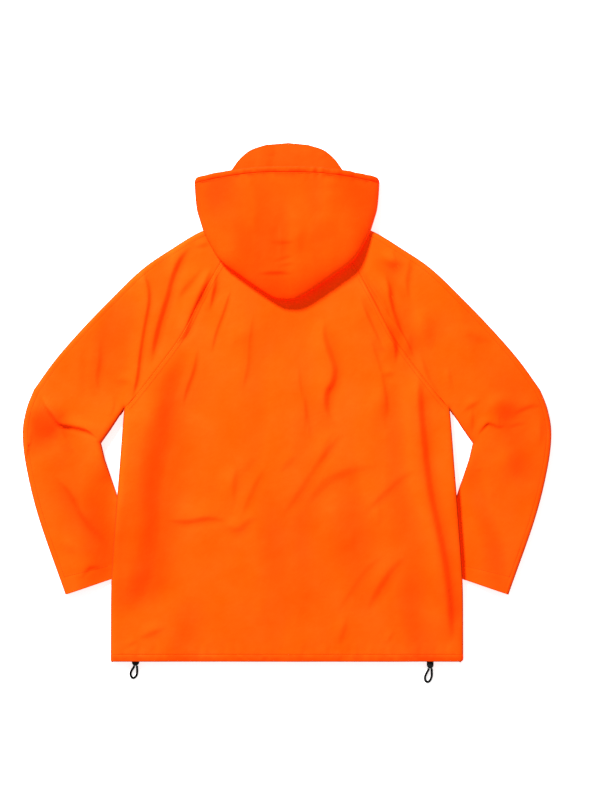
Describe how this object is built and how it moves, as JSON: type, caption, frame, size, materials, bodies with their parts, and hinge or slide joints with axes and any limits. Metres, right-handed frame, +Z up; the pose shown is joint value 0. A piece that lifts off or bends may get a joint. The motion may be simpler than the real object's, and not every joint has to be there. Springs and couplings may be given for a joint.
{
  "type": "jacket",
  "caption": "Hooded raglan-sleeved waxed jacket laid flat face down, hood thrown back onto the back, forearms tucked under the sides, drawcord hem.",
  "frame": {"origin": "on the surface the jacket lies on, below the middle of its bounding box without the cord loops", "axes": "+Z up from the surface, through the laid jacket to its back; +Y towards the hood; +X towards the wearer's right sleeve, the picture's right"},
  "size_m": [0.9466, 0.9713, 0.0515],
  "materials": {
    "waxed_cloth": "waxed, low sheen",
    "stud_metal": "satin",
    "black_trim": "matte"
  },
  "bodies": {
    "root": {"back": "waxed_cloth", "front_left": "waxed_cloth", "front_right": "waxed_cloth", "front_placket": "waxed_cloth", "press_stud_1": "stud_metal", "press_stud_2": "stud_metal", "press_stud_3": "stud_metal", "press_stud_4": "stud_metal", "press_stud_5": "stud_metal", "press_stud_6": "stud_metal", "press_stud_7": "stud_metal", "hem_casing_back": "waxed_cloth", "hem_casing_front_left": "waxed_cloth", "hem_casing_front_right": "waxed_cloth", "sleeve_left": "waxed_cloth", "sleeve_right": "waxed_cloth", "hood_bag": "waxed_cloth", "hood_casing": "waxed_cloth", "hood_neck_left": "waxed_cloth", "hood_neck_right": "waxed_cloth", "hood_neck_casing_left": "waxed_cloth", "hood_neck_casing_right": "waxed_cloth", "cord_stopper_left": "black_trim", "cord_stopper_right": "black_trim", "hem_cord_left": "black_trim", "hem_cord_right": "black_trim"}
  },
  "joints": []
}
